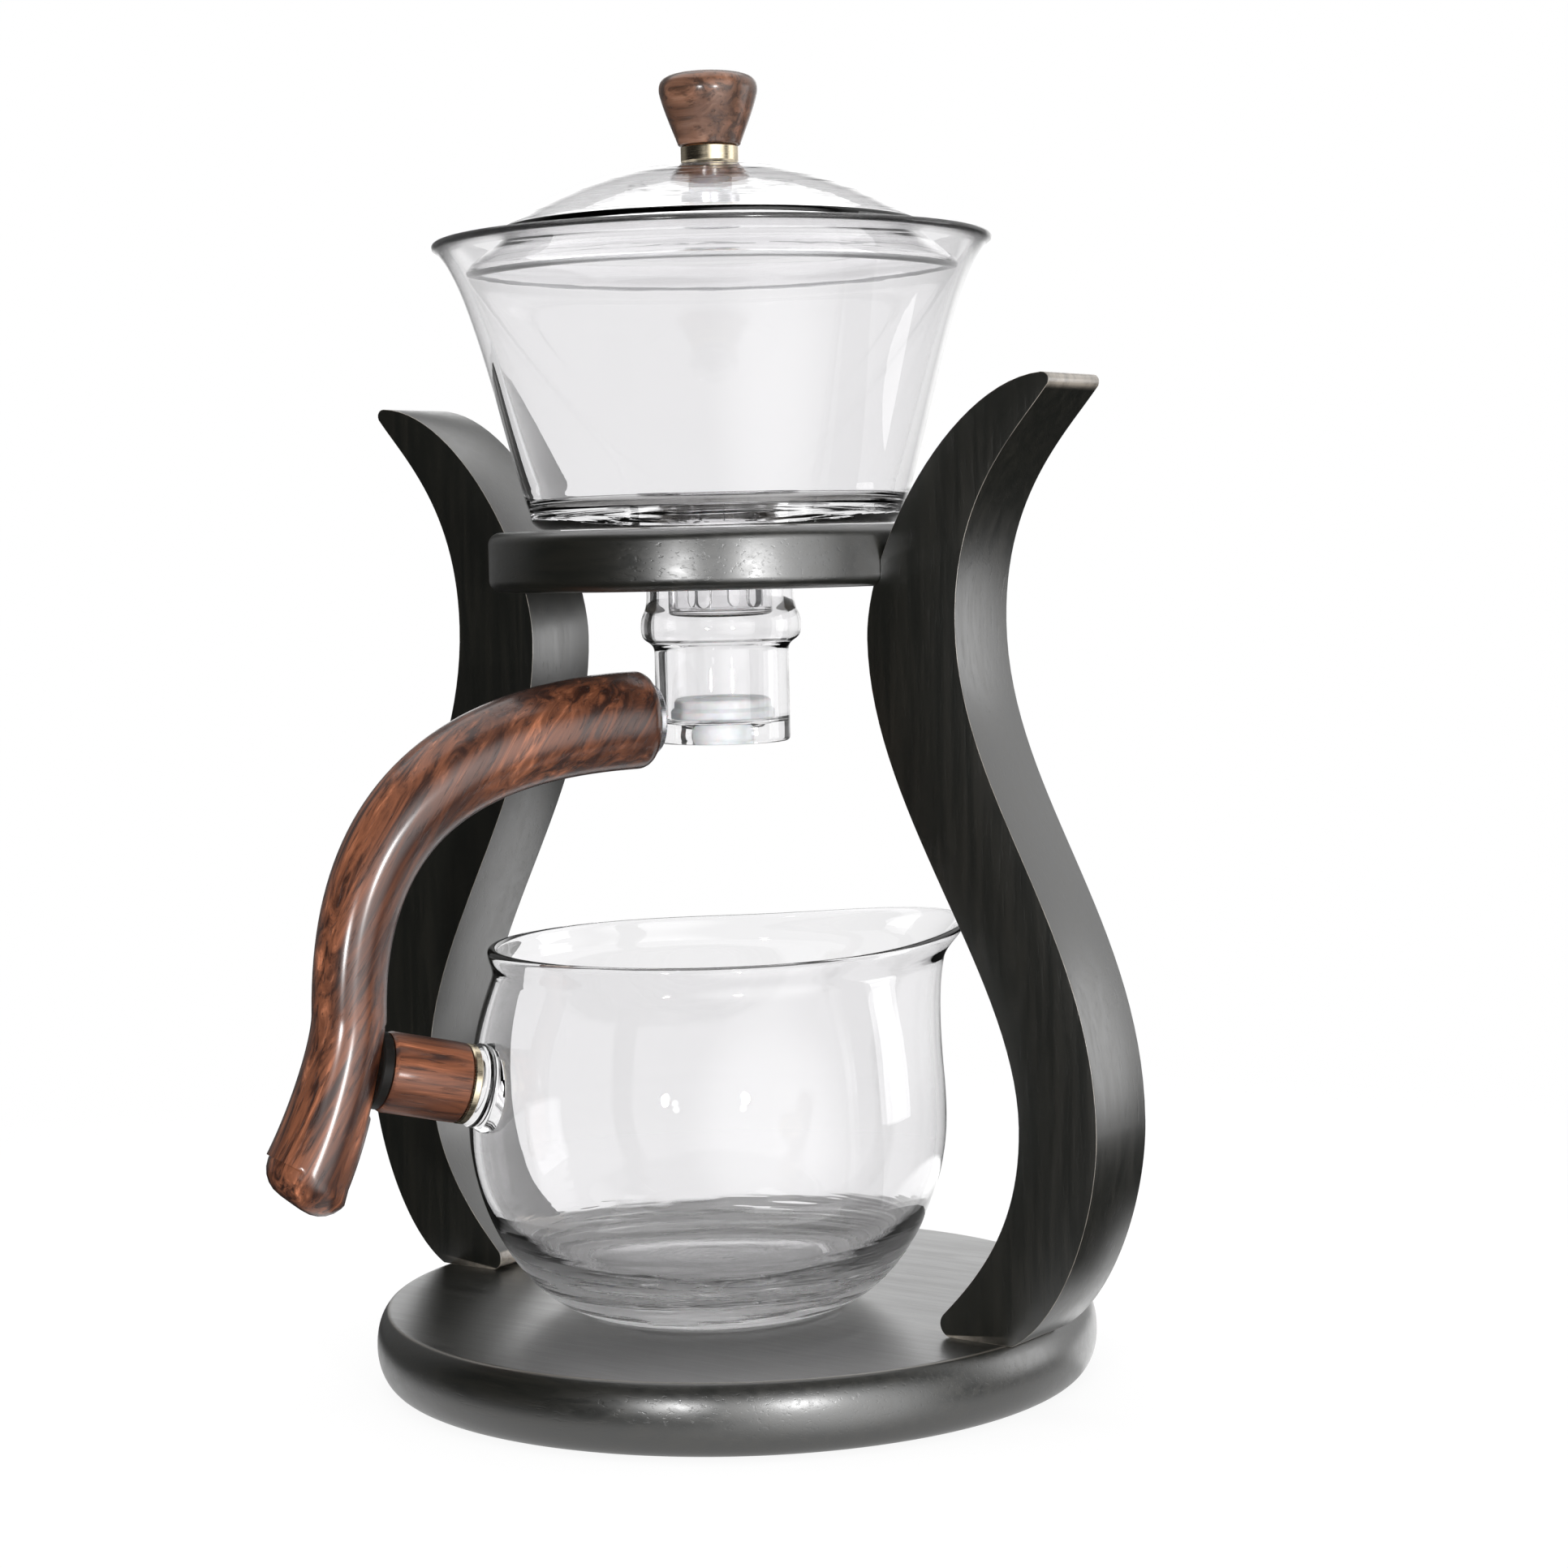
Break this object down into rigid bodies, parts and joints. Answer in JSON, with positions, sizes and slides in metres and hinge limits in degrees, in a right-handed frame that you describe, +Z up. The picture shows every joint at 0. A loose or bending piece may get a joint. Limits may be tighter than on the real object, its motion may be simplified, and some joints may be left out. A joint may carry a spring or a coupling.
{
  "type": "magnetic gravity coffee dripper",
  "caption": "Lidded glass dripper on a black lyre-shaped wooden stand, with a magnetic drain valve and a glass jug that has a curved wooden handle.",
  "frame": {"origin": "centre of the foam pad's underside, on the surface that the stand rests on", "axes": "+Z up, +X to the right post, -Y to the front, where the jug slides out"},
  "size_m": [0.199, 0.1802, 0.2853],
  "materials": {
    "black_wood": "satin black stain",
    "red_wood": "oiled reddish-brown rosewood, glossy",
    "pale_wood": "raw beech",
    "clear_glass": "clear borosilicate",
    "white_silicone": "frosted white",
    "clear_silicone": "translucent",
    "dark_collar": "black",
    "foam": "black foam",
    "brass": "polished",
    "steel": "polished"
  },
  "bodies": {
    "stand": {"base_pad": "foam", "base_disc": "black_wood", "left_post": "black_wood", "right_post": "black_wood", "support_ring": "black_wood", "base_screws": "steel", "ring_dowels": "pale_wood"},
    "bowl": {"brewing_bowl": "clear_glass"},
    "strainer_insert": {"strainer": "clear_glass"},
    "valve": {"valve_stopper": "white_silicone", "valve_magnet": "steel"},
    "lid": {"lid_glass": "clear_glass", "lid_washer": "clear_silicone", "lid_nut": "clear_silicone", "lid_screw": "steel", "lid_ferrule": "brass", "lid_knob": "red_wood"},
    "jug": {"jug_glass": "clear_glass", "peg_ferrule": "brass", "handle_peg": "red_wood", "peg_collar": "dark_collar", "peg_rod": "steel", "handle_arm": "red_wood", "magnet_cup": "steel", "handle_magnet": "steel"}
  },
  "joints": [
    {"name": "bowl_lift", "type": "slide", "parent": "stand", "child": "bowl", "axis": [0, 0, 1], "range_m": [0, 0.07]},
    {"name": "lid_lift", "type": "slide", "parent": "bowl", "child": "lid", "axis": [0, 0, 1], "range_m": [0, 0.06]},
    {"name": "strainer_lift", "type": "slide", "parent": "bowl", "child": "strainer_insert", "axis": [0, 0, 1], "range_m": [0, 0.04]},
    {"name": "valve_lift", "type": "slide", "parent": "bowl", "child": "valve", "axis": [0, 0, 1], "range_m": [0, 0.004]},
    {"name": "jug_slide", "type": "slide", "parent": "stand", "child": "jug", "axis": [0, -1, 0], "range_m": [0, 0.18]}
  ]
}
